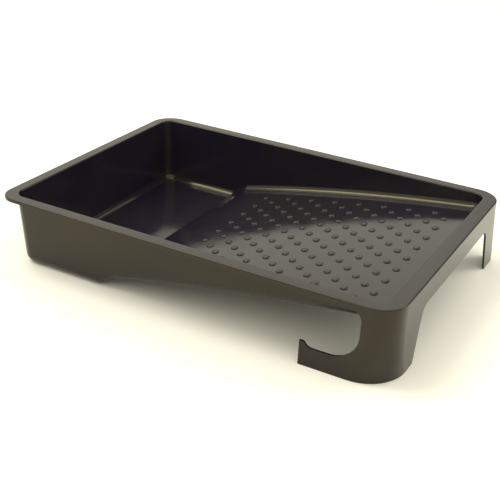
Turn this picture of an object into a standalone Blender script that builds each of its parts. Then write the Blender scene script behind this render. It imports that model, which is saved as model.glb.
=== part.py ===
"""Paint roller tray: a deep well at one end, a step up to a sloping ramp with raised bumps,
an all-round flange, and at the shallow end a skirt with two legs, one of them with a ladder hook.

The tray is one thin moulded sheet. The sheet is built once from its sizes, given its thickness,
and divided along its natural features into named solids that leave GAP between neighbours.
X runs from the deep end to the shallow end, Y across, Z up from the floor it stands on. Metres.
"""
import math

import bmesh
import bpy
from mathutils import Matrix, Vector

# Overall
TRAY_LENGTH = 0.396
TRAY_WIDTH = 0.280
TRAY_HEIGHT = 0.0704
WALL = 0.002
GAP = 0.0003

# Flange round the top
FLANGE_DEEP = 0.0110
FLANGE_SIDE = 0.0118
FLANGE_SHALLOW = 0.0142
FLANGE_CORNER = 0.024
POUR_CORNER = 0.018
POCKET_CORNER = 0.011
FLOOR_CORNER = 0.004
INNER_EDGE_ROUND = 0.0023
OUTER_EDGE_ROUND = 0.0024
LIP_DEEP_END = 0.0030
LIP_AT_HOOK = 0.0056

# Well, step and ramp
DRAFT = math.radians(3.5)
FLOOR_FILLET = 0.007
WELL_LENGTH = 0.1024
STEP_RUN = 0.017
STEP_HEIGHT = 0.0106
STEP_FOOT_ROUND = 0.004
STEP_TOP_ROUND = 0.0035
RAMP_END_DROP = 0.0140
RAMP_BOW = 0.0040

# Raised bumps on the ramp
BUMP_PITCH_X = 0.01329
BUMP_PITCH_Y = 0.0249
BUMP_FOOT_MARGIN = 0.0372
BUMP_END_MARGIN = 0.0225
BUMP_SIDE_MARGIN = 0.012
BUMP_RADIUS = 0.0034
BUMP_HEIGHT = 0.0011

# Skirt and legs at the shallow end
SKIRT_DEPTH = 0.0215
ARCH_ROUND = 0.009
NEAR_LEG_TOP = 0.0631
NEAR_LEG_FOOT = 0.0521
FAR_LEG_TOP = 0.0446
FAR_LEG_FOOT = 0.0278
FAR_LEG_SIDE = 0.009
NEAR_FOOT_CORNER = 0.038
FAR_FOOT_CORNER = 0.004
FOOT_ROUND = 0.007

# Ladder hook on the near leg
HOOK_REACH = 0.0799
NEAR_LEG_SIDE = 0.0289
HOOK_ROUND = 0.0247
HOOK_TOP_ROUND = 0.0088
HOOK_BAR = 0.0179
HOOK_TIP = 0.0227
HOOK_TIP_WIDTH = 0.0052

# How finely round shapes are divided
CORNER_STEPS = 8
FILLET_STEPS = 4
EDGE_STEPS = 3
RAMP_STEPS = 8

# Derived places
X_DEEP = -TRAY_LENGTH / 2
X_SHALLOW = TRAY_LENGTH / 2
Y_SIDE = TRAY_WIDTH / 2
FLOOR_Z = WALL
X_STEP = X_DEEP + WELL_LENGTH
X_RAMP = X_STEP + STEP_RUN
RAMP_FOOT_Z = FLOOR_Z + STEP_HEIGHT
X_RAMP_END = X_SHALLOW - FLANGE_SHALLOW
RAMP_END_Z = TRAY_HEIGHT - RAMP_END_DROP
SPLIT_Z = TRAY_HEIGHT - LIP_AT_HOOK - 2 * GAP
X_HOOK_END = X_SHALLOW - HOOK_REACH
X_LEG_EDGE = X_SHALLOW - NEAR_LEG_SIDE
Y_FLOOR = Y_SIDE - FLANGE_SIDE - TRAY_HEIGHT * math.tan(DRAFT) - FLOOR_FILLET
BUMP_START = X_RAMP + BUMP_FOOT_MARGIN
BUMP_COLUMNS = 1 + int((X_RAMP_END - BUMP_END_MARGIN - BUMP_START) / BUMP_PITCH_X)
BUMPS_ACROSS = 1 + 2 * int((Y_FLOOR - BUMP_SIDE_MARGIN) / BUMP_PITCH_Y)


def clear_scene():
    for item in list(bpy.data.objects):
        bpy.data.objects.remove(item, do_unlink=True)


def arc(cx, cz, radius, start, end, steps):
    """Points on a circle from the start angle to the end angle, in degrees."""
    points = []
    for i in range(steps + 1):
        a = math.radians(start + (end - start) * i / steps)
        points.append((cx + radius * math.cos(a), cz + radius * math.sin(a)))
    return points


def rounded(points, rounds, steps=4):
    """An open or closed outline with the given rounding at each of its points."""
    result = []
    count = len(points)
    for i, point in enumerate(points):
        radius = rounds[i]
        if radius == 0:
            result.append(point)
            continue
        here = Vector(point)
        back = (Vector(points[i - 1]) - here).normalized()
        ahead = (Vector(points[(i + 1) % count]) - here).normalized()
        half = back.angle(ahead) / 2
        reach = radius / math.tan(half)
        centre = here + (back + ahead).normalized() * (radius / math.sin(half))
        first = here + back * reach - centre
        last = here + ahead * reach - centre
        turn = first.angle_signed(last)
        for k in range(steps + 1):
            spun = first.copy()
            spun.rotate(Matrix.Rotation(-turn * k / steps, 2))
            result.append(tuple(centre + spun))
    return result


def ramp_height(x):
    """The ramp's surface, which swells by RAMP_BOW above a straight slope."""
    share = (x - X_RAMP) / (X_RAMP_END - X_RAMP)
    return RAMP_FOOT_Z + (RAMP_END_Z - RAMP_FOOT_Z) * share + 4 * RAMP_BOW * share * (1 - share)


def floor_profile():
    """Side view of the inner floor, from the deep end to the shallow end, as (x, z) points."""
    points = [(X_DEEP, FLOOR_Z), (X_STEP, FLOOR_Z), (X_RAMP, RAMP_FOOT_Z)]
    for k in range(1, RAMP_STEPS + 1):
        x = X_RAMP + (X_RAMP_END - X_RAMP) * k / RAMP_STEPS
        points.append((x, ramp_height(x)))
    points.append((X_SHALLOW, ramp_height(X_SHALLOW)))
    rounds = [0] * len(points)
    rounds[1] = STEP_FOOT_ROUND
    rounds[2] = STEP_TOP_ROUND
    return rounded(points, rounds)


PROFILE = floor_profile()


def floor_height(x):
    for (xa, za), (xb, zb) in zip(PROFILE, PROFILE[1:]):
        if x <= xb:
            return za + (zb - za) * (x - xa) / (xb - xa)
    return PROFILE[-1][1]


def lip_depth(x):
    """How far the outer lip hangs down, growing from the deep end to the hook."""
    share = min(1.0, max(0.0, (x - X_DEEP) / (X_HOOK_END - X_DEEP)))
    return LIP_DEEP_END + (LIP_AT_HOOK - LIP_DEEP_END) * share * share


def stations():
    """Places along one side, from the deep end's middle line to the shallow end's."""
    places = []
    for i in range(CORNER_STEPS + 1):
        places.append(("deep", 90 * i / CORNER_STEPS))
    cuts = [X_HOOK_END, X_SHALLOW - 2 * HOOK_ROUND, X_LEG_EDGE - HOOK_ROUND / 2]
    sides = list(cuts)
    for x, z in PROFILE[1:-1]:
        if x < X_SHALLOW - NEAR_FOOT_CORNER and min(abs(x - cut) for cut in cuts) > WALL:
            sides.append(x)
    for x in sorted(sides):
        places.append(("side", x))
    for i in range(CORNER_STEPS + 1):
        places.append(("shallow", 90 * i / CORNER_STEPS))
    return places


def on_ring(place, deep, shallow, side, deep_radius, shallow_radius):
    """A station's point on a rounded rectangle, on the side of positive Y."""
    kind, value = place
    if kind == "side":
        return value, side
    turn = math.radians(value)
    if kind == "deep":
        return deep + deep_radius * (1 - math.cos(turn)), side - deep_radius * (1 - math.sin(turn))
    return shallow - shallow_radius * (1 - math.sin(turn)), side - shallow_radius * (1 - math.cos(turn))


def pocket_point(place, u):
    """A point u outwards from the pocket's top edge."""
    radius = max(FLOOR_CORNER, POCKET_CORNER + u)
    deep = X_DEEP + FLANGE_DEEP - u
    shallow = X_SHALLOW - FLANGE_SHALLOW + u
    return on_ring(place, deep, shallow, Y_SIDE - FLANGE_SIDE + u, radius, radius)


def outer_point(place, v, z, side):
    """A point v outwards from the tray's outer edge, on the near (-1) or far (1) side.

    Below the flange the near leg's corner opens out towards its foot and the far leg's sharpens.
    """
    deep_radius = POUR_CORNER if side < 0 else FLANGE_CORNER
    share = min(1.0, max(0.0, (SPLIT_Z - z) / SPLIT_Z))
    if side < 0:
        end_radius = FLANGE_CORNER + (NEAR_FOOT_CORNER - FLANGE_CORNER) * share ** 3
    else:
        end_radius = FLANGE_CORNER + (FAR_FOOT_CORNER - FLANGE_CORNER) * share
    return on_ring(place, X_DEEP - v, X_SHALLOW + v, Y_SIDE + v, deep_radius + v, end_radius + v)


def section(place, side):
    """The sheet's visible side at a station, from the floor up and out over the flange: (x, y, z)."""
    lean = math.tan(DRAFT)
    shift = FLOOR_FILLET / math.cos(DRAFT)
    z_floor = floor_height(pocket_point(place, 0)[0])
    for i in range(4):
        u_floor = -(TRAY_HEIGHT - z_floor - FLOOR_FILLET) * lean - shift
        z_floor = floor_height(pocket_point(place, u_floor)[0])
    rows = []
    draft = math.degrees(DRAFT)
    for u, z in arc(u_floor, z_floor + FLOOR_FILLET, FLOOR_FILLET, -90, -draft, FILLET_STEPS):
        rows.append((*pocket_point(place, u), z))
    inner = INNER_EDGE_ROUND
    u_edge = inner / math.cos(DRAFT) - inner * lean
    for u, z in arc(u_edge, TRAY_HEIGHT - inner, inner, 180 - draft, 90, EDGE_STEPS):
        rows.append((*pocket_point(place, u), z))
    outer = OUTER_EDGE_ROUND
    for v, z in arc(-outer, TRAY_HEIGHT - outer, outer, 90, 0, EDGE_STEPS):
        rows.append((*outer_point(place, v, TRAY_HEIGHT, side), z))
    x, y, z = rows[-1]
    rows.append((x, y, TRAY_HEIGHT - lip_depth(x)))
    return [(x, side * y, z) for x, y, z in rows]


def build_sheet():
    """The tray's whole visible side as one open sheet of faces."""
    sheet = bmesh.new()
    places = stations()
    count = len(places)
    near = [[sheet.verts.new(point) for point in section(p, -1)] for p in places]
    far = [[sheet.verts.new(point) for point in section(p, 1)] for p in places]
    for i in range(count - 1):
        sheet.faces.new((near[i][0], near[i + 1][0], far[i + 1][0], far[i][0]))
    loop = near + far[::-1]
    for i, column in enumerate(loop):
        after = loop[(i + 1) % len(loop)]
        for a, b, c, d in zip(column, after, after[1:], column[1:]):
            sheet.faces.new((a, d, c, b))
    levels = [SPLIT_Z * (1 - k / 6) for k in range(1, 6)] + [-WALL]
    skirt = []
    for side, columns in ((-1, near), (1, far)):
        kept = []
        for place, column in zip(places, columns):
            x = column[-1].co.x
            if x < X_HOOK_END - 1e-6:
                continue
            chain = [column[-1]]
            for z in levels:
                px, py = outer_point(place, 0, z, side)
                chain.append(sheet.verts.new((px, side * py, z)))
            kept.append(chain)
        skirt += kept if side < 0 else kept[::-1]
    for column, after in zip(skirt, skirt[1:]):
        for a, b, c, d in zip(column, after, after[1:], column[1:]):
            sheet.faces.new((a, d, c, b))
    bmesh.ops.recalc_face_normals(sheet, faces=sheet.faces)
    floor = min(sheet.faces, key=lambda f: f.calc_center_median().z + abs(f.normal.z - 1))
    if floor.normal.z < 0:
        bmesh.ops.reverse_faces(sheet, faces=sheet.faces)
    mesh = bpy.data.meshes.new("tray_sheet")
    sheet.to_mesh(mesh)
    sheet.free()
    return mesh


def make_cutter(name, outline, low, high, axis="Z"):
    """A closed solid from an outline, extruded between two values along an axis and hidden."""
    shape = bmesh.new()
    verts = []
    for a, b in outline:
        if axis == "Z":
            verts.append(shape.verts.new((a, b, low)))
        elif axis == "Y":
            verts.append(shape.verts.new((a, low, b)))
        else:
            verts.append(shape.verts.new((low, a, b)))
    face = shape.faces.new(verts)
    step = {"X": (high - low, 0, 0), "Y": (0, high - low, 0), "Z": (0, 0, high - low)}[axis]
    grown = bmesh.ops.extrude_face_region(shape, geom=[face], use_keep_orig=True)
    moved = [g for g in grown["geom"] if isinstance(g, bmesh.types.BMVert)]
    bmesh.ops.translate(shape, verts=moved, vec=step)
    bmesh.ops.recalc_face_normals(shape, faces=shape.faces)
    mesh = bpy.data.meshes.new(name)
    shape.to_mesh(mesh)
    shape.free()
    cutter = bpy.data.objects.new(name, mesh)
    bpy.context.collection.objects.link(cutter)
    cutter.hide_render = True
    cutter.display_type = "WIRE"
    return cutter


def make_box(name, x, y, z):
    outline = [(x[0], y[0]), (x[1], y[0]), (x[1], y[1]), (x[0], y[1])]
    return make_cutter(name, outline, z[0], z[1])


def hook_opening():
    """The ladder hook's open side, cut through the near side of the skirt."""
    top = TRAY_HEIGHT - LIP_AT_HOOK - GAP / 2
    left = X_HOOK_END - 0.004
    tip = X_HOOK_END + HOOK_TIP_WIDTH
    points = [
        (left, top),
        (X_LEG_EDGE, top),
        (X_LEG_EDGE, HOOK_BAR),
        (tip + 0.002, HOOK_BAR),
        (tip - 0.001, HOOK_TIP),
        (X_HOOK_END, HOOK_TIP),
        (X_HOOK_END, HOOK_TIP - 0.004),
        (left, HOOK_TIP - 0.004),
    ]
    rounds = (0, HOOK_TOP_ROUND, HOOK_ROUND, 0.004, 0.002, 0.002, 0, 0)
    outline = rounded(points, rounds, 6)
    return make_cutter("hook_opening", outline, -Y_SIDE - 0.01, -Y_SIDE + 0.006, "Y")


def arch_opening():
    """The opening between the two legs, cut through the end of the skirt."""
    top = TRAY_HEIGHT - SKIRT_DEPTH
    near = -Y_SIDE + NEAR_LEG_TOP
    far = Y_SIDE - FAR_LEG_TOP
    points = [
        (-Y_SIDE + NEAR_LEG_FOOT - 0.012, -0.01),
        (-Y_SIDE + NEAR_LEG_FOOT - 0.012, 0),
        (-Y_SIDE + NEAR_LEG_FOOT, 0.0045),
        (near, top),
        (far, top),
        (Y_SIDE - FAR_LEG_FOOT, 0),
        (Y_SIDE - FAR_LEG_FOOT, -0.01),
    ]
    rounds = (0, 0, FOOT_ROUND, ARCH_ROUND, ARCH_ROUND, 0, 0)
    outline = rounded(points, rounds, 5)
    return make_cutter("arch_opening", outline, X_SHALLOW - 0.008, X_SHALLOW + 0.01, "X")


def far_side_opening():
    """The far side has no hook, so its skirt is cut back to a narrow leg."""
    top = TRAY_HEIGHT - LIP_AT_HOOK - GAP / 2
    edge = X_SHALLOW - FAR_LEG_SIDE
    points = [
        (X_HOOK_END - 0.004, -0.01),
        (X_HOOK_END - 0.004, top),
        (edge - 0.006, top),
        (edge, top - 0.02),
        (edge, -0.01),
    ]
    outline = rounded(points, (0, 0, 0.006, 0.006, 0), 4)
    return make_cutter("far_side_opening", outline, Y_SIDE - 0.012, Y_SIDE + 0.01, "Y")


def bumps():
    """All the ramp's raised bumps as one set of low domes, sunk a little into the ramp."""
    domes = bmesh.new()
    for column in range(BUMP_COLUMNS):
        odd = column % 2
        for row in range(BUMPS_ACROSS - odd):
            x = BUMP_START + column * BUMP_PITCH_X
            y = (row - (BUMPS_ACROSS - 1 - odd) / 2) * BUMP_PITCH_Y
            climb = floor_height(x + BUMP_RADIUS) - floor_height(x - BUMP_RADIUS)
            slope = math.atan(climb / (2 * BUMP_RADIUS))
            place = Matrix.Translation((x, y, floor_height(x))) @ Matrix.Rotation(-slope, 4, "Y")
            rings = []
            for reach, rise in ((1.0, -0.5), (1.0, 0.0), (0.88, 0.6), (0.6, 0.92)):
                ring = []
                for k in range(8):
                    a = math.radians(45 * k + 22.5)
                    out = BUMP_RADIUS * reach
                    point = Vector((out * math.cos(a), out * math.sin(a), BUMP_HEIGHT * rise))
                    ring.append(domes.verts.new(place @ point))
                rings.append(ring)
            top = domes.verts.new(place @ Vector((0, 0, BUMP_HEIGHT)))
            domes.faces.new(rings[0][::-1])
            for low, high in zip(rings, rings[1:]):
                for k in range(8):
                    n = (k + 1) % 8
                    domes.faces.new((low[k], low[n], high[n], high[k]))
            for k in range(8):
                domes.faces.new((rings[-1][k], rings[-1][(k + 1) % 8], top))
    mesh = bpy.data.meshes.new("ramp_bumps")
    domes.to_mesh(mesh)
    domes.free()
    cutter = bpy.data.objects.new("ramp_bumps", mesh)
    bpy.context.collection.objects.link(cutter)
    cutter.hide_render = True
    cutter.display_type = "WIRE"
    return cutter


def plastic(name, colour, roughness):
    material = bpy.data.materials.new(name)
    material.use_nodes = True
    shader = material.node_tree.nodes["Principled BSDF"]
    shader.inputs["Base Color"].default_value = (*colour, 1)
    shader.inputs["Roughness"].default_value = roughness
    return material


def boolean(item, operation, other):
    step = item.modifiers.new(operation.lower(), "BOOLEAN")
    step.operation = operation
    step.solver = "EXACT"
    step.object = other


def main():
    clear_scene()
    sheet = build_sheet()
    openings = [hook_opening(), arch_opening(), far_side_opening()]

    over = 0.02
    below = (-over, SPLIT_Z - GAP)
    rim = (SPLIT_Z, TRAY_HEIGHT + over)
    half = GAP / 2
    x_deep_cut = X_DEEP + FLANGE_CORNER
    x_shallow_cut = X_SHALLOW - FLANGE_CORNER
    x_outer = X_SHALLOW + over
    y_outer = Y_SIDE + over
    y_floor = Y_FLOOR
    x_step_low = X_STEP - STEP_FOOT_ROUND
    x_step_high = X_RAMP + STEP_TOP_ROUND
    standing = (0, SPLIT_Z - GAP)
    air = 0.005
    zone_corner = FLANGE_CORNER - air
    skirt_near = -Y_SIDE + NEAR_LEG_TOP + 1.4 * ARCH_ROUND
    skirt_far = Y_SIDE - FAR_LEG_TOP - 1.4 * ARCH_ROUND
    x_bar = X_LEG_EDGE - HOOK_ROUND + 0.0015

    corner = arc(X_SHALLOW - FLANGE_CORNER, Y_SIDE - FLANGE_CORNER, zone_corner, 0, 90, 6)
    pan = corner + [(X_DEEP - over, Y_SIDE - air), (X_DEEP - over, -Y_SIDE + air)]
    pan = pan + [(x, -y) for x, y in corner[::-1]]
    pan_low = floor_height(x_bar) - WALL - 0.006
    pan_zone = make_cutter("pan_zone", pan, pan_low, SPLIT_Z - half)
    foot_zone = make_box("foot_zone", (x_bar - air, x_outer), (-y_outer, 0), (-over, pan_low))
    wall = [(x, y) for x, y in corner if y > y_floor + half]
    wall = [(X_SHALLOW - air, y_floor + half)] + wall
    wall = wall + [(x_deep_cut + half, Y_SIDE - air), (x_deep_cut + half, y_floor + half)]
    mirrored = [(x, -y) for x, y in wall[::-1]]

    boxes = {
        "well_floor": ((x_deep_cut + half, x_step_low - half), (-y_floor + half, y_floor - half), below),
        "step": ((x_step_low + half, x_step_high - half), (-y_floor + half, y_floor - half), below),
        "ramp": ((x_step_high + half, X_SHALLOW - air), (-y_floor + half, y_floor - half), below),
        "deep_end_wall": ((X_DEEP - over, x_deep_cut - half), (-y_outer, y_outer), below),
        "flange_deep_end": ((X_DEEP - over, x_deep_cut - half), (-y_outer, y_outer), rim),
        "flange_near_side": ((x_deep_cut + half, x_shallow_cut - half), (-y_outer, 0), rim),
        "flange_far_side": ((x_deep_cut + half, x_shallow_cut - half), (0, y_outer), rim),
        "flange_shallow_end": ((x_shallow_cut + half, x_outer), (-y_outer, y_outer), rim),
        "end_skirt": ((X_SHALLOW - air, x_outer), (skirt_near + half, skirt_far - half), standing),
        "near_leg": ((x_bar + half, x_outer), (-y_outer, skirt_near - half), standing),
        "far_leg": ((x_bar + half, x_outer), (skirt_far + half, y_outer), standing),
        "ladder_hook": ((0, x_bar - half), (-y_outer, -Y_SIDE + air), standing),
    }
    zones = {name: make_box(name + "_zone", *limits) for name, limits in boxes.items()}
    zones["far_side_wall"] = make_cutter("far_wall_zone", wall, *below)
    zones["near_side_wall"] = make_cutter("near_wall_zone", mirrored, *below)
    skirt_parts = ("end_skirt", "near_leg", "far_leg", "ladder_hook")
    domes = bumps()
    for name, zone in zones.items():
        item = bpy.data.objects.new(name, sheet.copy())
        bpy.context.collection.objects.link(item)
        item.data.name = name
        item.data.materials.append(plastic(name + "_plastic", (0.028, 0.026, 0.020), 0.36))
        for face in item.data.polygons:
            face.use_smooth = True
        thick = item.modifiers.new("thickness", "SOLIDIFY")
        thick.thickness = WALL
        thick.offset = -1
        thick.use_even_offset = True
        if name in skirt_parts:
            for opening in openings:
                boolean(item, "DIFFERENCE", opening)
            boolean(item, "DIFFERENCE", pan_zone)
        boolean(item, "INTERSECT", zone)
        if name in ("near_side_wall", "ramp"):
            boolean(item, "DIFFERENCE", foot_zone)
        if name == "ramp":
            boolean(item, "UNION", domes)
    bpy.data.meshes.remove(sheet)


main()
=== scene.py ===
"""Paint roller tray: one moulding of black plastic, finished around its CAD frame."""
import math

import bmesh
import bpy
from mathutils import Matrix, Vector


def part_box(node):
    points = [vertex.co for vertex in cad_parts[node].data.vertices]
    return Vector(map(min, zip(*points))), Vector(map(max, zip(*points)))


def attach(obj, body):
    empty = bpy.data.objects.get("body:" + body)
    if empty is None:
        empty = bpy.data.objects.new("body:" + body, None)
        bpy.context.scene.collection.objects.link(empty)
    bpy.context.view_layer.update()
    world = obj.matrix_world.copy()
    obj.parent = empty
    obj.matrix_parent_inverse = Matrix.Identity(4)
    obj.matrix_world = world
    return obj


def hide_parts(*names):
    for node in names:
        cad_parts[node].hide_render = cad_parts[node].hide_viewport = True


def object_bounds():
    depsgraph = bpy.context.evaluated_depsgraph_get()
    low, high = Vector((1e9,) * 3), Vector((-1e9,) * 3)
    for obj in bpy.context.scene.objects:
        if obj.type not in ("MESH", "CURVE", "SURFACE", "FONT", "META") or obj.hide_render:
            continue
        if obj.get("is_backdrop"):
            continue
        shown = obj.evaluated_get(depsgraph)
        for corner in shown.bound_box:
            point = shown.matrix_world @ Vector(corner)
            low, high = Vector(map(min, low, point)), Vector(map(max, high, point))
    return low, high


bl_info = {
    "name": "Paint Roller Tray",
    "version": (1, 0, 0),
    "blender": (4, 5, 0),
    "location": "View3D > Sidebar > Roller Tray",
    "description": "Models a plastic paint roller tray with a bumped ramp and a ladder hook",
    "category": "Object",
}

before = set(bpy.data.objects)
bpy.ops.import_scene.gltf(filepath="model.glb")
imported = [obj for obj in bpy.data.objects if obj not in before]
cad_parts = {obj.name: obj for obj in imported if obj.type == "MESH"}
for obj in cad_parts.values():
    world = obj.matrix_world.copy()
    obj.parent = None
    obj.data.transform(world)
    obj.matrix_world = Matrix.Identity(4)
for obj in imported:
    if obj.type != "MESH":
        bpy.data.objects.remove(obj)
CAD_LOW, CAD_HIGH = (list(corner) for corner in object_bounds())
NODES = list(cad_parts)

# Places from the CAD frame. Every length in this file is in metres.
X_DEEP, Y_NEAR, Z_GROUND = CAD_LOW
X_SHALLOW, Y_FAR, Z_RIM = CAD_HIGH
FLOOR_LOW, FLOOR_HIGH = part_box("well_floor")
HOOK_LOW, HOOK_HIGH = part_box("ladder_hook")
SKIRT_LOW, SKIRT_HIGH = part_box("end_skirt")
WALL = FLOOR_HIGH[2] - FLOOR_LOW[2]

# Two places closer than this are the same place.
TOUCH = 1e-5
# Faces that meet at more than this angle keep a sharp edge between them.
SHARP_ANGLE = math.radians(38)

# Steps in a rounding: on a narrow edge, a small corner, the floor's fillet, a corner, the
# flange's outline and the hook's seat.
EDGE_STEPS, NOSE_STEPS, FILLET_STEPS, CORNER_STEPS, OUTLINE_STEPS, SEAT_STEPS = 4, 6, 7, 8, 10, 14

# The pocket: strips along the ramp, and the roundings at the step's foot and top.
RAMP_STRIPS = 10
STEP_FOOT_ROUND, STEP_TOP_ROUND = 0.004, 0.003
# An upright corner edge of the pocket lies this near two walls, and is at least this tall.
CORNER_REACH, CORNER_LEAST = 0.02, 0.005

# The flange has a narrow band inside its edge, and its lip grows over this many strips.
FLANGE_BAND = 0.0035
LIP_STRIPS = 6
# Heights where the skirt changes its shape on the way down; the last is under the ground.
SKIRT_LEVELS = (0.058, 0.046, 0.034, 0.022, 0.011, -0.002)

# The side openings end this far under the rim, and start this far past the hook's tip.
OPENING_DROP, OPENING_PAST_TIP = 0.0058, 0.004
# The hook's tip leans: its top ends short of its full width, and its base runs past it.
TIP_TOP_SHORT, TIP_BASE_PAST, TIP_FALL = 0.001, 0.002, 0.004
TIP_BASE_ROUND, TIP_TOP_ROUND = 0.004, 0.0018
FAR_OPENING_ROUND = 0.007
# Cutters start clear of the skirt or inside its edge, and reach through it.
CUTTER_CLEAR = 0.01
HOOK_CUT_DEPTH = 0.016
ARCH_CUT_INSIDE, ARCH_CUT_DEPTH = 0.008, 0.018
FAR_CUT_INSIDE, FAR_CUT_DEPTH = 0.0085, 0.019
GROUND_CUT_MARGIN, GROUND_CUT_DEPTH = 0.1, 0.05

# A bump: its sides, how deep it stands in the ramp, and its shape in shares of its size.
BUMP_SIDES, BUMP_EDGE_STEPS = 14, 2
BUMP_SUNK = 0.0006
BUMP_EDGE_SHARE, BUMP_CROWN_SHARE, BUMP_DOME_SHARE, BUMP_FOOT_SPREAD = 0.9, 0.35, 0.08, 1.1

# The plastic's patterns: scale and detail of each, and the strength and depth of the reliefs.
CLOUD_NOISE, CLOUD_FROM, CLOUD_TO = (14, 4), 0.35, 0.75
GLOSS_NOISE, GLOSS_MIX, GLOSS_RANGE = (45, 6), 0.6, (0.3, 0.7)
GLOSS_BELOW, GLOSS_ABOVE = 0.04, 0.05
SWELL_NOISE, SWELL_RELIEF = (22, 2), (0.12, 0.002)
GRAIN_NOISE, GRAIN_RELIEF = (1400, 2), (0.10, 0.0001)
PLASTIC_IOR, PLASTIC_SPECULAR = 1.5, 0.42

# The stage: floor, camera, and soft lights with place, size, watts and colour.
FLOOR_SIZE, FLOOR_GAP, FLOOR_ROUGHNESS = 12, 0.0002, 0.9
SENSOR_WIDTH = 36
SOFT_LIGHTS = {
    "key_light": ((-0.85, -0.35, 1.7), (0.8, 1.0), 16, (1, 0.98, 0.93)),
    "side_light": ((1.2, 0.9, 0.9), (0.9, 0.9), 8, (1, 0.99, 0.97)),
}
# The studio's surroundings: colours by height, and a darker part in one direction.
AIR_STOPS = ((0.02, (0.09, 0.09, 0.09)), (0.2, (0.78, 0.755, 0.67)), (0.48, (1.0, 0.97, 0.86)))
DIM_WAY, DIM_FROM, DIM_TO = (0.49, 0.87, 0), (0.62, 0.80), (1.0, 0.2)


# ---------------------------------------------------------------- settings


class MouldingSizes(bpy.types.PropertyGroup):
    """The tray's pocket, flange and edges."""

    wall: bpy.props.FloatProperty(
        name="Wall",
        description="Thickness of the moulded sheet",
        default=WALL,
        unit="LENGTH",
    )
    flange_deep: bpy.props.FloatProperty(
        name="Flange, deep end",
        description="Flange width at the deep end",
        default=0.011,
        unit="LENGTH",
    )
    flange_side: bpy.props.FloatProperty(
        name="Flange, sides",
        description="Flange width along the sides",
        default=0.0118,
        unit="LENGTH",
    )
    flange_shallow: bpy.props.FloatProperty(
        name="Flange, shallow end",
        description="Flange width at the shallow end",
        default=0.0142,
        unit="LENGTH",
    )
    corner: bpy.props.FloatProperty(
        name="Corner",
        description="Radius of the flange's outer corners",
        default=0.024,
        unit="LENGTH",
    )
    pour_corner: bpy.props.FloatProperty(
        name="Pouring corner",
        description="Radius of the sharper corner for pouring",
        default=0.018,
        unit="LENGTH",
    )
    pocket_corner: bpy.props.FloatProperty(
        name="Pocket corner",
        description="Upright corner radius inside the pocket",
        default=0.011,
        unit="LENGTH",
    )
    inner_round: bpy.props.FloatProperty(
        name="Inner edge",
        description="Rounding from the pocket's wall to the flange",
        default=0.0014,
        unit="LENGTH",
    )
    outer_round: bpy.props.FloatProperty(
        name="Outer edge",
        description="Rounding from the flange to its lip",
        default=0.0011,
        unit="LENGTH",
    )
    lip: bpy.props.FloatProperty(
        name="Lip",
        description="How far the flange's lip hangs down at the deep end",
        default=0.0030,
        unit="LENGTH",
    )
    lip_growth: bpy.props.FloatProperty(
        name="Lip growth",
        description="How much deeper the lip is at the hook",
        default=0.0026,
        unit="LENGTH",
    )
    draft: bpy.props.FloatProperty(
        name="Draft",
        description="Lean of the pocket's walls",
        default=math.radians(3.5),
        subtype="ANGLE",
    )
    fillet: bpy.props.FloatProperty(
        name="Floor fillet",
        description="Radius between the floor and the walls",
        default=0.007,
        unit="LENGTH",
    )
    well_length: bpy.props.FloatProperty(
        name="Well",
        description="From the deep end to the step's foot",
        default=0.1024,
        unit="LENGTH",
    )
    step_run: bpy.props.FloatProperty(
        name="Step run",
        description="Length of the sloping step",
        default=0.017,
        unit="LENGTH",
    )
    step_height: bpy.props.FloatProperty(
        name="Step height",
        description="How far the step climbs",
        default=0.0106,
        unit="LENGTH",
    )
    ramp_drop: bpy.props.FloatProperty(
        name="Ramp drop",
        description="From the rim down to the ramp's upper end",
        default=0.0140,
        unit="LENGTH",
    )
    ramp_bow: bpy.props.FloatProperty(
        name="Ramp bow",
        description="How far the ramp swells above a straight slope",
        default=0.0040,
        unit="LENGTH",
    )


class LegSizes(bpy.types.PropertyGroup):
    """The skirt, the two legs and the ladder hook."""

    near_side: bpy.props.FloatProperty(
        name="Near leg, side",
        description="Leg's width along the tray's side",
        default=0.0289,
        unit="LENGTH",
    )
    near_top: bpy.props.FloatProperty(
        name="Near leg, top",
        description="Leg's width across the end, at its top",
        default=0.0631,
        unit="LENGTH",
    )
    near_foot: bpy.props.FloatProperty(
        name="Near leg, foot",
        description="Leg's width across the end, at its foot",
        default=0.0521,
        unit="LENGTH",
    )
    near_corner: bpy.props.FloatProperty(
        name="Near foot corner",
        description="Radius of the near foot's corner",
        default=0.038,
        unit="LENGTH",
    )
    far_side: bpy.props.FloatProperty(
        name="Far leg, side",
        description="Leg's width along the tray's side",
        default=0.009,
        unit="LENGTH",
    )
    far_top: bpy.props.FloatProperty(
        name="Far leg, top",
        description="Leg's width across the end, at its top",
        default=0.0446,
        unit="LENGTH",
    )
    far_foot: bpy.props.FloatProperty(
        name="Far leg, foot",
        description="Leg's width across the end, at its foot",
        default=0.0278,
        unit="LENGTH",
    )
    far_corner: bpy.props.FloatProperty(
        name="Far foot corner",
        description="Radius of the far foot's corner",
        default=0.004,
        unit="LENGTH",
    )
    arch_round: bpy.props.FloatProperty(
        name="Arch",
        description="Rounding between the skirt and the legs",
        default=0.009,
        unit="LENGTH",
    )
    bar: bpy.props.FloatProperty(
        name="Hook bar",
        description="Height of the hook's bar",
        default=0.0179,
        unit="LENGTH",
    )
    tip_width: bpy.props.FloatProperty(
        name="Hook tip",
        description="Width of the hook's turned-up tip",
        default=0.0052,
        unit="LENGTH",
    )
    hook_round: bpy.props.FloatProperty(
        name="Hook seat",
        description="Large rounding inside the hook",
        default=0.0247,
        unit="LENGTH",
    )
    hook_top_round: bpy.props.FloatProperty(
        name="Hook top",
        description="Small rounding at the hook's upper end",
        default=0.0088,
        unit="LENGTH",
    )


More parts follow.
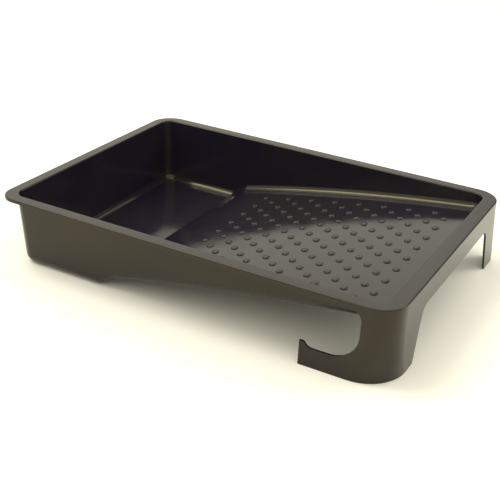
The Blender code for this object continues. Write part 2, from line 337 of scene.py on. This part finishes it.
class BumpSizes(bpy.types.PropertyGroup):
    """The raised bumps on the ramp."""

    columns: bpy.props.IntProperty(
        name="Columns",
        description="Columns of bumps up the ramp",
        default=16,
    )
    across: bpy.props.IntProperty(
        name="Across",
        description="Bumps in each odd column",
        default=9,
    )
    pitch_x: bpy.props.FloatProperty(
        name="Pitch along",
        description="Distance between columns",
        default=0.01329,
        unit="LENGTH",
    )
    pitch_y: bpy.props.FloatProperty(
        name="Pitch across",
        description="Distance between bumps in a column",
        default=0.0249,
        unit="LENGTH",
    )
    start: bpy.props.FloatProperty(
        name="Start",
        description="From the deep end to the first column",
        default=0.1566,
        unit="LENGTH",
    )
    radius: bpy.props.FloatProperty(
        name="Radius",
        description="Radius of a bump",
        default=0.0034,
        unit="LENGTH",
    )
    height: bpy.props.FloatProperty(
        name="Height",
        description="Height of a bump",
        default=0.0011,
        unit="LENGTH",
    )


class PlasticFinish(bpy.types.PropertyGroup):
    """Colours and gloss of the black plastic."""

    colour: bpy.props.FloatVectorProperty(
        name="Colour",
        description="Main colour of the plastic",
        subtype="COLOR",
        default=(0.0100, 0.0085, 0.0170),
    )
    haze: bpy.props.FloatVectorProperty(
        name="Haze",
        description="Paler tint in cloudy patches",
        subtype="COLOR",
        default=(0.0135, 0.0118, 0.0160),
    )
    sheen: bpy.props.FloatVectorProperty(
        name="Sheen",
        description="Warm olive tint of the surface's reflections",
        subtype="COLOR",
        default=(1.0, 0.91, 0.50),
    )
    roughness: bpy.props.FloatProperty(
        name="Roughness",
        description="Middle value of the surface's roughness",
        default=0.125,
        subtype="FACTOR",
    )


class StageSettings(bpy.types.PropertyGroup):
    """Floor, lights and camera."""

    floor_colour: bpy.props.FloatVectorProperty(
        name="Floor",
        description="Colour of the floor",
        subtype="COLOR",
        default=(0.89, 0.87, 0.78),
    )
    backdrop: bpy.props.FloatProperty(
        name="Backdrop",
        description="Brightness of the studio's surroundings",
        default=1.33,
    )
    eye: bpy.props.FloatVectorProperty(
        name="Eye",
        description="Where the camera stands",
        subtype="XYZ",
        unit="LENGTH",
        default=(0.39070, -0.74790, 0.43724),
    )
    sight: bpy.props.FloatVectorProperty(
        name="Sight",
        description="Direction the camera looks in",
        subtype="DIRECTION",
        default=(-0.41740, 0.78911, -0.45064),
    )
    roll: bpy.props.FloatProperty(
        name="Roll",
        description="Turn of the camera about its sight",
        default=math.radians(2.91),
        subtype="ANGLE",
    )
    lens: bpy.props.FloatProperty(
        name="Lens",
        description="Focal length in millimetres",
        default=69.58,
    )


# ---------------------------------------------------------------- hand tools


def clear_selection():
    if bpy.context.object and bpy.context.object.mode != "OBJECT":
        bpy.ops.object.mode_set(mode="OBJECT")
    bpy.ops.object.select_all(action="DESELECT")


def take(item):
    """Makes one object the only selected and the active one."""
    clear_selection()
    item.select_set(True)
    bpy.context.view_layer.objects.active = item


def pick(test, kind="VERT"):
    """In edit mode, selects only the vertices, edges or faces that pass the test."""
    bpy.ops.mesh.select_mode(type=kind)
    bpy.ops.mesh.select_all(action="DESELECT")
    shape = bmesh.from_edit_mesh(bpy.context.object.data)
    parts = {"VERT": shape.verts, "EDGE": shape.edges, "FACE": shape.faces}[kind]
    found = [part for part in parts if test(part)]
    if not found:
        raise RuntimeError("nothing was found to select")
    for part in found:
        part.select_set(True)
    shape.select_flush_mode()
    bmesh.update_edit_mesh(bpy.context.object.data)


def same(a, b):
    return abs(a - b) < TOUCH


def at_rim(vertex):
    return vertex.co.z > Z_RIM - TOUCH


def cut_across(x):
    """Bisects the whole mesh with an upright plane across the tray."""
    bpy.ops.mesh.select_all(action="SELECT")
    bpy.ops.mesh.bisect(plane_co=(x, 0, 0), plane_no=(1, 0, 0))


def shift(x=0, y=0, z=0):
    bpy.ops.transform.translate(value=(x, y, z))


def pull_out(x=0, y=0, z=0):
    """Extrudes the selected edges or faces by a distance."""
    bpy.ops.mesh.extrude_region_move(TRANSFORM_OT_translate={"value": (x, y, z)})


def bevel_edges(width, steps):
    bpy.ops.mesh.bevel(offset=width, segments=steps, affect="EDGES", profile=0.5)


def normals_out():
    bpy.ops.mesh.select_all(action="SELECT")
    bpy.ops.mesh.normals_make_consistent(inside=False)


def apply_modifier(item, kind, **settings):
    take(item)
    step = item.modifiers.new(kind.lower(), kind)
    for key, value in settings.items():
        setattr(step, key, value)
    bpy.ops.object.modifier_apply(modifier=step.name)


def middle_and_span(low, high):
    middle = [(a + b) / 2 for a, b in zip(low, high)]
    span = [b - a for a, b in zip(low, high)]
    return middle, span


def name_and_settle(item, name):
    """Names a new object, and puts its place, turn and scale into its mesh."""
    item.name = name
    item.data.name = name
    bpy.ops.object.transform_apply(location=True, rotation=True, scale=True)
    return item


def add_box(name, low, high):
    clear_selection()
    middle, span = middle_and_span(low, high)
    bpy.ops.mesh.primitive_cube_add(size=1, location=middle, scale=span)
    return name_and_settle(bpy.context.object, name)


def add_sheet(name, low, high):
    """A flat four-cornered face between two corners; its thin direction may be any axis."""
    clear_selection()
    middle, span = middle_and_span(low, high)
    flat = min(range(3), key=lambda i: span[i])
    turn = ((math.pi / 2, 0, math.pi / 2), (math.pi / 2, 0, 0), (0, 0, 0))[flat]
    wide, tall = [span[i] for i in range(3) if i != flat]
    bpy.ops.mesh.primitive_plane_add(size=1, location=middle, rotation=turn)
    bpy.context.object.scale = (wide, tall, 1)
    return name_and_settle(bpy.context.object, name)


def start_cutter(name, low, high):
    """A flat outline that is open for editing."""
    cutter = add_sheet(name, low, high)
    take(cutter)
    bpy.ops.object.mode_set(mode="EDIT")
    return cutter


def merge_outline():
    """Makes the faces of a flat outline one face."""
    bpy.ops.mesh.select_mode(type="FACE")
    bpy.ops.mesh.select_all(action="SELECT")
    bpy.ops.mesh.dissolve_faces()


def round_corner(near_point, radius, steps):
    """Rounds the outline's corner at a point, in edit mode."""
    spot = Vector(near_point)
    pick(lambda v: (v.co - spot).length < TOUCH * 5)
    bpy.ops.mesh.bevel(offset=radius, segments=steps, affect="VERTICES", profile=0.5)


def thicken_cutter(item, x=0, y=0):
    """Pulls a flat outline into a closed solid with its faces out."""
    bpy.ops.mesh.select_mode(type="FACE")
    bpy.ops.mesh.select_all(action="SELECT")
    pull_out(x=x, y=y)
    normals_out()
    bpy.ops.object.mode_set(mode="OBJECT")
    return item


def cut_away(item, cutter):
    apply_modifier(item, "BOOLEAN", operation="DIFFERENCE", solver="EXACT", object=cutter)
    bpy.data.objects.remove(cutter, do_unlink=True)


# ---------------------------------------------------------------- the moulding


def ramp_rise(sizes, x):
    """Height of the ramp above the well's floor; it swells a little above a straight slope."""
    x_top = X_DEEP + sizes.well_length + sizes.step_run
    share = (x - x_top) / (X_SHALLOW - sizes.flange_shallow - x_top)
    climb = Z_RIM - sizes.ramp_drop - Z_GROUND - sizes.wall - sizes.step_height
    return sizes.step_height + climb * share + 4 * sizes.ramp_bow * share * (1 - share)


def make_pocket(sizes):
    """The well, the step and the ramp with their walls, as an open-topped shape."""
    depth = Z_RIM - (Z_GROUND + sizes.wall)
    low = (X_DEEP + sizes.flange_deep, Y_NEAR + sizes.flange_side, Z_RIM - depth)
    high = (X_SHALLOW - sizes.flange_shallow, Y_FAR - sizes.flange_side, Z_RIM)
    pocket = add_box("tray_moulding", low, high)
    x_foot = X_DEEP + sizes.well_length
    x_top = x_foot + sizes.step_run
    take(pocket)
    bpy.ops.object.mode_set(mode="EDIT")
    ramp_places = [
        x_top + (high[0] - x_top) * k / RAMP_STRIPS for k in range(RAMP_STRIPS + 1)
    ]
    for x in (x_foot, *ramp_places[:-1]):
        cut_across(x)
    lean = math.tan(sizes.draft)
    half = high[1]
    rises = {low[0]: 0.0, x_foot: 0.0}
    rises.update({x: ramp_rise(sizes, x) for x in ramp_places})
    for x, rise in rises.items():
        pick(lambda v: same(v.co.x, x) and v.co.z < Z_RIM - TOUCH)
        narrow = 1 - (depth - rise) * lean / half
        bpy.ops.transform.resize(value=(1, narrow, 1), center_override=(x, 0, 0))
        shift(z=rise)
    for x, inward in ((low[0], depth * lean), (high[0], -sizes.ramp_drop * lean)):
        pick(lambda v: same(v.co.x, x) and v.co.z < Z_RIM - TOUCH)
        shift(x=inward)
    pick(lambda f: f.normal.z > 0.5 and f.calc_center_median().z > Z_RIM - TOUCH, "FACE")
    bpy.ops.mesh.delete(type="FACE")

    def is_upright_corner(edge):
        a, b = (v.co for v in edge.verts)
        at_ends = all(c.x < low[0] + CORNER_REACH or c.x > high[0] - CORNER_REACH for c in (a, b))
        at_sides = all(abs(c.y) > half - CORNER_REACH for c in (a, b))
        return at_ends and at_sides and abs(a.z - b.z) > CORNER_LEAST

    pick(is_upright_corner, "EDGE")
    bevel_edges(sizes.pocket_corner, CORNER_STEPS)

    def is_floor_edge(edge):
        if len(edge.link_faces) != 2:
            return False
        level = sorted(abs(f.normal.z) for f in edge.link_faces)
        return level[0] < 0.5 < level[1]

    pick(is_floor_edge, "EDGE")
    bevel_edges(sizes.fillet * math.tan(math.pi / 4 - sizes.draft / 2), FILLET_STEPS)
    for x, radius in ((x_foot, STEP_FOOT_ROUND), (x_top, STEP_TOP_ROUND)):
        turn = math.atan2(sizes.step_height, sizes.step_run)
        if x == x_top:
            first_rise = rises[ramp_places[1]] - sizes.step_height
            turn -= math.atan2(first_rise, ramp_places[1] - x_top)
        pick(lambda e: all(abs(v.co.x - x) < TOUCH * 5 for v in e.verts), "EDGE")
        bevel_edges(radius * math.tan(turn / 2), EDGE_STEPS)
    bpy.ops.object.mode_set(mode="OBJECT")
    return pocket


def make_flange(pocket, sizes):
    """Adds the flat flange and the lip that hangs from it, deeper towards the hook."""
    outline = add_sheet("flange_outline", (X_DEEP, Y_NEAR, Z_RIM), (X_SHALLOW, Y_FAR, Z_RIM))
    take(outline)
    bpy.ops.object.mode_set(mode="EDIT")
    for x, y, radius in (
        (X_DEEP, Y_NEAR, sizes.pour_corner),
        (X_DEEP, Y_FAR, sizes.corner),
        (X_SHALLOW, Y_NEAR, sizes.corner),
        (X_SHALLOW, Y_FAR, sizes.corner),
    ):
        round_corner((x, y, Z_RIM), radius, OUTLINE_STEPS)
    bpy.ops.mesh.select_all(action="SELECT")
    bpy.ops.mesh.delete(type="ONLY_FACE")
    clear_selection()
    outline.select_set(True)
    pocket.select_set(True)
    bpy.context.view_layer.objects.active = pocket
    bpy.ops.object.join()
    bpy.ops.object.mode_set(mode="EDIT")
    pick(lambda e: len(e.link_faces) < 2 and all(at_rim(v) for v in e.verts), "EDGE")
    bpy.ops.mesh.fill(use_beauty=True)
    pick(lambda f: all(at_rim(v) for v in f.verts), "FACE")
    bpy.ops.mesh.inset(thickness=FLANGE_BAND, use_boundary=True, use_even_offset=True)
    pick(lambda e: len(e.link_faces) == 1 and all(at_rim(v) for v in e.verts), "EDGE")
    pull_out(z=-sizes.lip)
    z_lip = Z_RIM - sizes.lip
    strip = (HOOK_LOW[0] - X_DEEP) / LIP_STRIPS
    lip_places = [X_DEEP + strip * k for k in range(1, LIP_STRIPS + 1)]
    for x in lip_places:
        cut_across(x)
    for k, x in enumerate(lip_places, 1):
        pick(lambda v: same(v.co.z, z_lip) and same(v.co.x, x))
        shift(z=-sizes.lip_growth * (k / LIP_STRIPS) ** 2)
    pick(lambda v: same(v.co.z, z_lip) and v.co.x > HOOK_LOW[0] + TOUCH)
    shift(z=-sizes.lip_growth)
    bpy.ops.object.mode_set(mode="OBJECT")


def pull_skirt(sizes, legs):
    """Pulls the lip down at the shallow end, with the corners changing towards the feet."""
    z_now = Z_RIM - sizes.lip - sizes.lip_growth

    def is_open(edge):
        return len(edge.link_faces) == 1 and all(same(v.co.z, z_now) for v in edge.verts)

    pick(lambda e: is_open(e) and all(v.co.x > HOOK_LOW[0] - TOUCH for v in e.verts), "EDGE")
    radii = {Y_NEAR: sizes.corner, Y_FAR: sizes.corner}
    for z in SKIRT_LEVELS:
        pull_out(z=z - z_now)
        z_now = z
        share = min(1.0, (SKIRT_HIGH[2] - z) / SKIRT_HIGH[2])
        targets = {
            Y_NEAR: sizes.corner + (legs.near_corner - sizes.corner) * share ** 3,
            Y_FAR: sizes.corner + (legs.far_corner - sizes.corner) * share,
        }
        for y, target in targets.items():
            reach = radii[y] + TOUCH
            pick(
                lambda v: same(v.co.z, z_now)
                and abs(v.co.y - y) < reach
                and v.co.x > X_SHALLOW - reach
            )
            grow = target / radii[y]
            centre = (X_SHALLOW, y, z_now)
            bpy.ops.transform.resize(value=(grow, grow, 1), center_override=centre)
            radii[y] = target
        pick(is_open, "EDGE")


def make_skirt(tray, sizes, legs):
    """Adds the skirt, gives the whole sheet its wall and rounds the rim's two edges."""
    take(tray)
    bpy.ops.object.mode_set(mode="EDIT")
    pull_skirt(sizes, legs)
    normals_out()
    shape = bmesh.from_edit_mesh(tray.data)
    floor = min(shape.faces, key=lambda f: f.calc_center_median().z + (1 - abs(f.normal.z)))
    if floor.normal.z < 0:
        bpy.ops.mesh.flip_normals()
    bpy.ops.object.mode_set(mode="OBJECT")
    apply_modifier(tray, "SOLIDIFY", thickness=sizes.wall, offset=-1, use_even_offset=True)
    bpy.ops.object.mode_set(mode="EDIT")

    def is_rim_edge(edge, least, most):
        if len(edge.link_faces) != 2 or not all(v.co.z >= Z_RIM - TOUCH for v in edge.verts):
            return False
        level = sorted(abs(f.normal.z) for f in edge.link_faces)
        return least <= level[0] < most and level[1] > 0.99

    for radius, least, most in ((sizes.outer_round, 0, 0.01), (sizes.inner_round, 0.01, 0.3)):
        pick(lambda e: is_rim_edge(e, least, most), "EDGE")
        bevel_edges(radius, EDGE_STEPS)
    bpy.ops.object.mode_set(mode="OBJECT")


def hook_opening(legs):
    """The open side of the ladder hook, as a cutter through the near side of the skirt."""
    top, tip = Z_RIM - OPENING_DROP, HOOK_HIGH[2]
    left, right = HOOK_LOW[0] - OPENING_PAST_TIP, X_SHALLOW - legs.near_side
    y = Y_NEAR - CUTTER_CLEAR
    cutter = start_cutter("hook_opening", (left, y, legs.bar), (right, y, top))
    inner = HOOK_LOW[0] + legs.tip_width
    tip_top, tip_base = inner - TIP_TOP_SHORT, inner + TIP_BASE_PAST
    for x in (HOOK_LOW[0], tip_top, tip_base):
        cut_across(x)
    pick(lambda v: v.co.z < legs.bar + TOUCH and v.co.x < inner)
    shift(z=tip - legs.bar)
    pick(lambda v: v.co.z < tip + TOUCH and v.co.x < HOOK_LOW[0] - TOUCH)
    shift(z=-TIP_FALL)
    merge_outline()
    round_corner((right, y, top), legs.hook_top_round, CORNER_STEPS)
    round_corner((right, y, legs.bar), legs.hook_round, SEAT_STEPS)
    round_corner((tip_base, y, legs.bar), TIP_BASE_ROUND, NOSE_STEPS)
    round_corner((tip_top, y, tip), TIP_TOP_ROUND, NOSE_STEPS)
    return thicken_cutter(cutter, y=HOOK_CUT_DEPTH)


def arch_opening(legs):
    """The opening between the legs, as a cutter through the end of the skirt."""
    x, high = X_SHALLOW - ARCH_CUT_INSIDE, SKIRT_LOW[2]
    near, far = Y_NEAR + legs.near_top, Y_FAR - legs.far_top
    near_foot, far_foot = Y_NEAR + legs.near_foot, Y_FAR - legs.far_foot
    cutter = start_cutter("arch_opening", (x, near, 0), (x, far, high))
    for old, new in ((near, near_foot), (far, far_foot)):
        pick(lambda v: same(v.co.y, old) and v.co.z < TOUCH)
        shift(y=new - old)
    pick(lambda e: all(v.co.z < TOUCH for v in e.verts), "EDGE")
    pull_out(z=-CUTTER_CLEAR)
    merge_outline()
    round_corner((x, near, high), legs.arch_round, CORNER_STEPS)
    round_corner((x, far, high), legs.arch_round, CORNER_STEPS)
    return thicken_cutter(cutter, x=ARCH_CUT_DEPTH)


def far_side_opening(legs):
    """The far side has no hook: this cutter leaves only a narrow leg there."""
    y, top = Y_FAR - FAR_CUT_INSIDE, Z_RIM - OPENING_DROP
    left, right = HOOK_LOW[0] - OPENING_PAST_TIP, X_SHALLOW - legs.far_side
    cutter = start_cutter("far_side_opening", (left, y, -CUTTER_CLEAR), (right, y, top))
    round_corner((right, y, top), FAR_OPENING_ROUND, CORNER_STEPS)
    return thicken_cutter(cutter, y=FAR_CUT_DEPTH)


def ground_cutter():
    """A slab under the ground, which trims the feet level."""
    low = (X_DEEP - GROUND_CUT_MARGIN, Y_NEAR - GROUND_CUT_MARGIN, -GROUND_CUT_DEPTH)
    high = (X_SHALLOW + GROUND_CUT_MARGIN, Y_FAR + GROUND_CUT_MARGIN, Z_GROUND)
    return add_box("ground_cutter", low, high)


class TRAY_OT_moulding(bpy.types.Operator):
    """Models the whole moulding: pocket, flange, skirt, legs and ladder hook"""

    bl_idname = "tray.moulding"
    bl_label = "Tray Moulding"

    def execute(self, context):
        sizes = context.scene.tray_moulding
        legs = context.scene.tray_legs
        tray = make_pocket(sizes)
        make_flange(tray, sizes)
        make_skirt(tray, sizes, legs)
        for opening in (hook_opening, arch_opening, far_side_opening):
            cut_away(tray, opening(legs))
        cut_away(tray, ground_cutter())
        take(tray)
        bpy.ops.object.mode_set(mode="EDIT")
        bpy.ops.mesh.select_all(action="SELECT")
        bpy.ops.mesh.remove_doubles(threshold=TOUCH)
        bpy.ops.mesh.dissolve_degenerate(threshold=TOUCH)
        bpy.ops.object.mode_set(mode="OBJECT")
        bpy.ops.object.shade_smooth_by_angle(angle=SHARP_ANGLE)
        apply_modifier(tray, "WEIGHTED_NORMAL", mode="FACE_AREA", weight=80, keep_sharp=True)
        tray.data.materials.clear()
        tray.data.materials.append(black_plastic(context.scene.tray_finish))
        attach(tray, "root")
        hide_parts(*NODES)
        return {"FINISHED"}


# ---------------------------------------------------------------- the bumps


def make_bump(sizes):
    """One low dome on a foot that stands a little way into the ramp."""
    clear_selection()
    bpy.ops.mesh.primitive_cylinder_add(
        vertices=BUMP_SIDES,
        radius=sizes.radius,
        depth=sizes.height + BUMP_SUNK,
        location=(0, 0, (sizes.height - BUMP_SUNK) / 2),
    )
    bpy.ops.object.transform_apply(location=True, rotation=False, scale=False)
    bump = bpy.context.object
    bpy.ops.object.mode_set(mode="EDIT")
    top = sizes.height - TOUCH
    pick(lambda e: all(v.co.z > top for v in e.verts), "EDGE")
    bevel_edges(sizes.height * BUMP_EDGE_SHARE, BUMP_EDGE_STEPS)
    pick(lambda f: all(v.co.z > top for v in f.verts), "FACE")
    bpy.ops.mesh.inset(thickness=sizes.radius * BUMP_CROWN_SHARE)
    shift(z=sizes.height * BUMP_DOME_SHARE)
    pick(lambda v: v.co.z < -TOUCH)
    spread = (BUMP_FOOT_SPREAD, BUMP_FOOT_SPREAD, 1)
    bpy.ops.transform.resize(value=spread, center_override=(0, 0, 0))
    normals_out()
    bpy.ops.object.mode_set(mode="OBJECT")
    bpy.ops.object.shade_smooth()
    return bump


def bump_places(sizes, tray):
    """Where each bump stands: columns up the ramp, every second one a bump shorter."""
    for column in range(sizes.columns):
        odd = column % 2
        x = X_DEEP + sizes.start + column * sizes.pitch_x
        z = Z_GROUND + tray.wall + ramp_rise(tray, x)
        climb = ramp_rise(tray, x + sizes.radius) - ramp_rise(tray, x - sizes.radius)
        slope = math.atan2(climb, 2 * sizes.radius)
        for row in range(sizes.across - odd):
            y = (row - (sizes.across - 1 - odd) / 2) * sizes.pitch_y
            yield Matrix.Translation((x, y, z)) @ Matrix.Rotation(-slope, 4, "Y")


class TRAY_OT_bumps(bpy.types.Operator):
    """Models one raised bump and sets copies of it over the ramp"""

    bl_idname = "tray.bumps"
    bl_label = "Ramp Bumps"

    def execute(self, context):
        sizes = context.scene.tray_bumps
        master = make_bump(sizes)
        copies = []
        for place in bump_places(sizes, context.scene.tray_moulding):
            copy = master.copy()
            copy.data = master.data.copy()
            context.collection.objects.link(copy)
            copy.data.transform(place)
            copies.append(copy)
        clear_selection()
        bpy.data.objects.remove(master, do_unlink=True)
        for copy in copies:
            copy.select_set(True)
        bpy.context.view_layer.objects.active = copies[0]
        bpy.ops.object.join()
        bumps = bpy.context.object
        bumps.name = "ramp_bumps"
        bumps.data.name = "ramp_bumps"
        bumps.data.materials.clear()
        bumps.data.materials.append(black_plastic(context.scene.tray_finish))
        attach(bumps, "root")
        return {"FINISHED"}


# ---------------------------------------------------------------- the finish


def join_nodes(tree, source, output, target, entry):
    tree.links.new(source.outputs[output], target.inputs[entry])


def add_noise(tree, place, scale, detail):
    """A noise pattern that is fixed to the piece."""
    noise = tree.nodes.new("ShaderNodeTexNoise")
    noise.inputs["Scale"].default_value = scale
    noise.inputs["Detail"].default_value = detail
    join_nodes(tree, place, "Object", noise, "Vector")
    return noise


def add_relief(tree, pattern, strength, distance):
    """A pattern turned into hollows and swellings of the surface."""
    relief = tree.nodes.new("ShaderNodeBump")
    relief.inputs["Strength"].default_value = strength
    relief.inputs["Distance"].default_value = distance
    join_nodes(tree, pattern, "Fac", relief, "Height")
    return relief


def add_colour_ramp(tree, *stops):
    """A colour ramp through stops that are each a place and a colour, the lowest first."""
    ramp = tree.nodes.new("ShaderNodeValToRGB")
    for place, _ in stops[1:-1]:
        ramp.color_ramp.elements.new(place)
    for element, (place, colour) in zip(ramp.color_ramp.elements, stops):
        element.position = place
        element.color = (*colour, 1)
    return ramp


def add_map_range(tree, source, output, old_range, new_range):
    """Turns one range of a value into another."""
    node = tree.nodes.new("ShaderNodeMapRange")
    entries = ("From Min", "From Max", "To Min", "To Max")
    for entry, value in zip(entries, (*old_range, *new_range)):
        node.inputs[entry].default_value = value
    join_nodes(tree, source, output, node, "Value")
    return node


def black_plastic(finish):
    """Satin black plastic: cloudy tint, uneven gloss, slow waves and fine grain."""
    ready = bpy.data.materials.get("satin_black_plastic")
    if ready:
        return ready
    material = bpy.data.materials.new("satin_black_plastic")
    material.use_nodes = True
    tree = material.node_tree
    tree.nodes.clear()
    out = tree.nodes.new("ShaderNodeOutputMaterial")
    shader = tree.nodes.new("ShaderNodeBsdfPrincipled")
    shader.inputs["IOR"].default_value = PLASTIC_IOR
    shader.inputs["Specular IOR Level"].default_value = PLASTIC_SPECULAR
    shader.inputs["Specular Tint"].default_value = (*finish.sheen, 1)
    join_nodes(tree, shader, "BSDF", out, "Surface")
    place = tree.nodes.new("ShaderNodeTexCoord")

    cloud = add_noise(tree, place, *CLOUD_NOISE)
    tint = add_colour_ramp(tree, (CLOUD_FROM, finish.colour), (CLOUD_TO, finish.haze))
    join_nodes(tree, cloud, "Fac", tint, "Fac")
    join_nodes(tree, tint, "Color", shader, "Base Color")

    gloss = add_noise(tree, place, *GLOSS_NOISE)
    gloss.inputs["Roughness"].default_value = GLOSS_MIX
    limits = (finish.roughness - GLOSS_BELOW, finish.roughness + GLOSS_ABOVE)
    spread = add_map_range(tree, gloss, "Fac", GLOSS_RANGE, limits)
    join_nodes(tree, spread, "Result", shader, "Roughness")

    wave = add_relief(tree, add_noise(tree, place, *SWELL_NOISE), *SWELL_RELIEF)
    fine = add_relief(tree, add_noise(tree, place, *GRAIN_NOISE), *GRAIN_RELIEF)
    join_nodes(tree, wave, "Normal", fine, "Normal")
    join_nodes(tree, fine, "Normal", shader, "Normal")
    return material


# ---------------------------------------------------------------- the stage


def make_floor(stage):
    clear_selection()
    bpy.ops.mesh.primitive_plane_add(size=FLOOR_SIZE, location=(0, 0, Z_GROUND - FLOOR_GAP))
    floor = bpy.context.object
    floor.name = "studio_floor"
    paint = bpy.data.materials.new("pale_floor")
    paint.use_nodes = True
    shader = paint.node_tree.nodes["Principled BSDF"]
    shader.inputs["Base Color"].default_value = (*stage.floor_colour, 1)
    shader.inputs["Roughness"].default_value = FLOOR_ROUGHNESS
    floor.data.materials.append(paint)
    floor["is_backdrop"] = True


def make_surroundings(stage):
    """Pale surroundings, darker near the ground and in one direction."""
    world = bpy.data.worlds.new("studio_air")
    world.use_nodes = True
    air = world.node_tree
    back = air.nodes["Background"]
    way = air.nodes.new("ShaderNodeTexCoord")
    split = air.nodes.new("ShaderNodeSeparateXYZ")
    shade = add_colour_ramp(air, *AIR_STOPS)
    join_nodes(air, way, "Generated", split, "Vector")
    join_nodes(air, split, "Z", shade, "Fac")
    facing = air.nodes.new("ShaderNodeVectorMath")
    facing.operation = "DOT_PRODUCT"
    facing.inputs[1].default_value = DIM_WAY
    join_nodes(air, way, "Generated", facing, 0)
    dim = add_map_range(air, facing, "Value", DIM_FROM, DIM_TO)
    dimmed = air.nodes.new("ShaderNodeVectorMath")
    dimmed.operation = "SCALE"
    join_nodes(air, shade, "Color", dimmed, 0)
    join_nodes(air, dim, "Result", dimmed, "Scale")
    join_nodes(air, dimmed, "Vector", back, "Color")
    back.inputs["Strength"].default_value = stage.backdrop
    bpy.context.scene.world = world


def make_soft_light(name, place, size, power, colour):
    """A soft light that is aimed at the tray's middle."""
    bpy.ops.object.light_add(type="AREA", location=place)
    light = bpy.context.object
    light.name = name
    light.data.name = name
    light.data.shape = "RECTANGLE"
    light.data.size, light.data.size_y = size
    light.data.energy = power
    light.data.color = colour
    light.rotation_euler = (-Vector(place)).to_track_quat("-Z", "Y").to_euler()


def make_camera(stage):
    bpy.ops.object.camera_add(location=stage.eye)
    camera = bpy.context.object
    camera.name = "studio_camera"
    camera.data.lens = stage.lens
    camera.data.sensor_width = SENSOR_WIDTH
    sight = Vector(stage.sight).normalized()
    right = sight.cross(Vector((0, 0, 1))).normalized()
    up = right.cross(sight)
    turned_right = right * math.cos(stage.roll) + up * math.sin(stage.roll)
    turned_up = turned_right.cross(sight)
    camera.rotation_euler = Matrix((turned_right, turned_up, -sight)).transposed().to_euler()
    bpy.context.scene.camera = camera


class TRAY_OT_stage(bpy.types.Operator):
    """Sets the pale floor, the soft studio light and the camera"""

    bl_idname = "tray.stage"
    bl_label = "Studio Stage"

    def execute(self, context):
        stage = context.scene.tray_stage
        make_floor(stage)
        make_surroundings(stage)
        for name, light in SOFT_LIGHTS.items():
            make_soft_light(name, *light)
        make_camera(stage)
        context.scene.view_settings.view_transform = "Standard"
        context.scene.view_settings.look = "None"
        return {"FINISHED"}


# ---------------------------------------------------------------- the add-on


class TRAY_PT_panel(bpy.types.Panel):
    """Lists the tray's steps and sizes"""

    bl_label = "Roller Tray"
    bl_idname = "TRAY_PT_panel"
    bl_space_type = "VIEW_3D"
    bl_region_type = "UI"
    bl_category = "Roller Tray"

    def draw(self, context):
        layout = self.layout
        for name, group in GROUPS.items():
            box = layout.box()
            box.label(text=group.__doc__)
            settings = getattr(context.scene, name)
            for key in group.__annotations__:
                box.prop(settings, key)
        for step in STEPS:
            layout.operator(step.bl_idname)


GROUPS = {
    "tray_moulding": MouldingSizes,
    "tray_legs": LegSizes,
    "tray_bumps": BumpSizes,
    "tray_finish": PlasticFinish,
    "tray_stage": StageSettings,
}
STEPS = (TRAY_OT_stage, TRAY_OT_moulding, TRAY_OT_bumps)


def register():
    for item in (*GROUPS.values(), *STEPS, TRAY_PT_panel):
        bpy.utils.register_class(item)
    for name, group in GROUPS.items():
        setattr(bpy.types.Scene, name, bpy.props.PointerProperty(type=group))


def unregister():
    for name in GROUPS:
        delattr(bpy.types.Scene, name)
    for item in reversed((*GROUPS.values(), *STEPS, TRAY_PT_panel)):
        bpy.utils.unregister_class(item)


def main():
    register()
    for step in (bpy.ops.tray.stage, bpy.ops.tray.moulding, bpy.ops.tray.bumps):
        step()


if __name__ == "__main__":
    main()
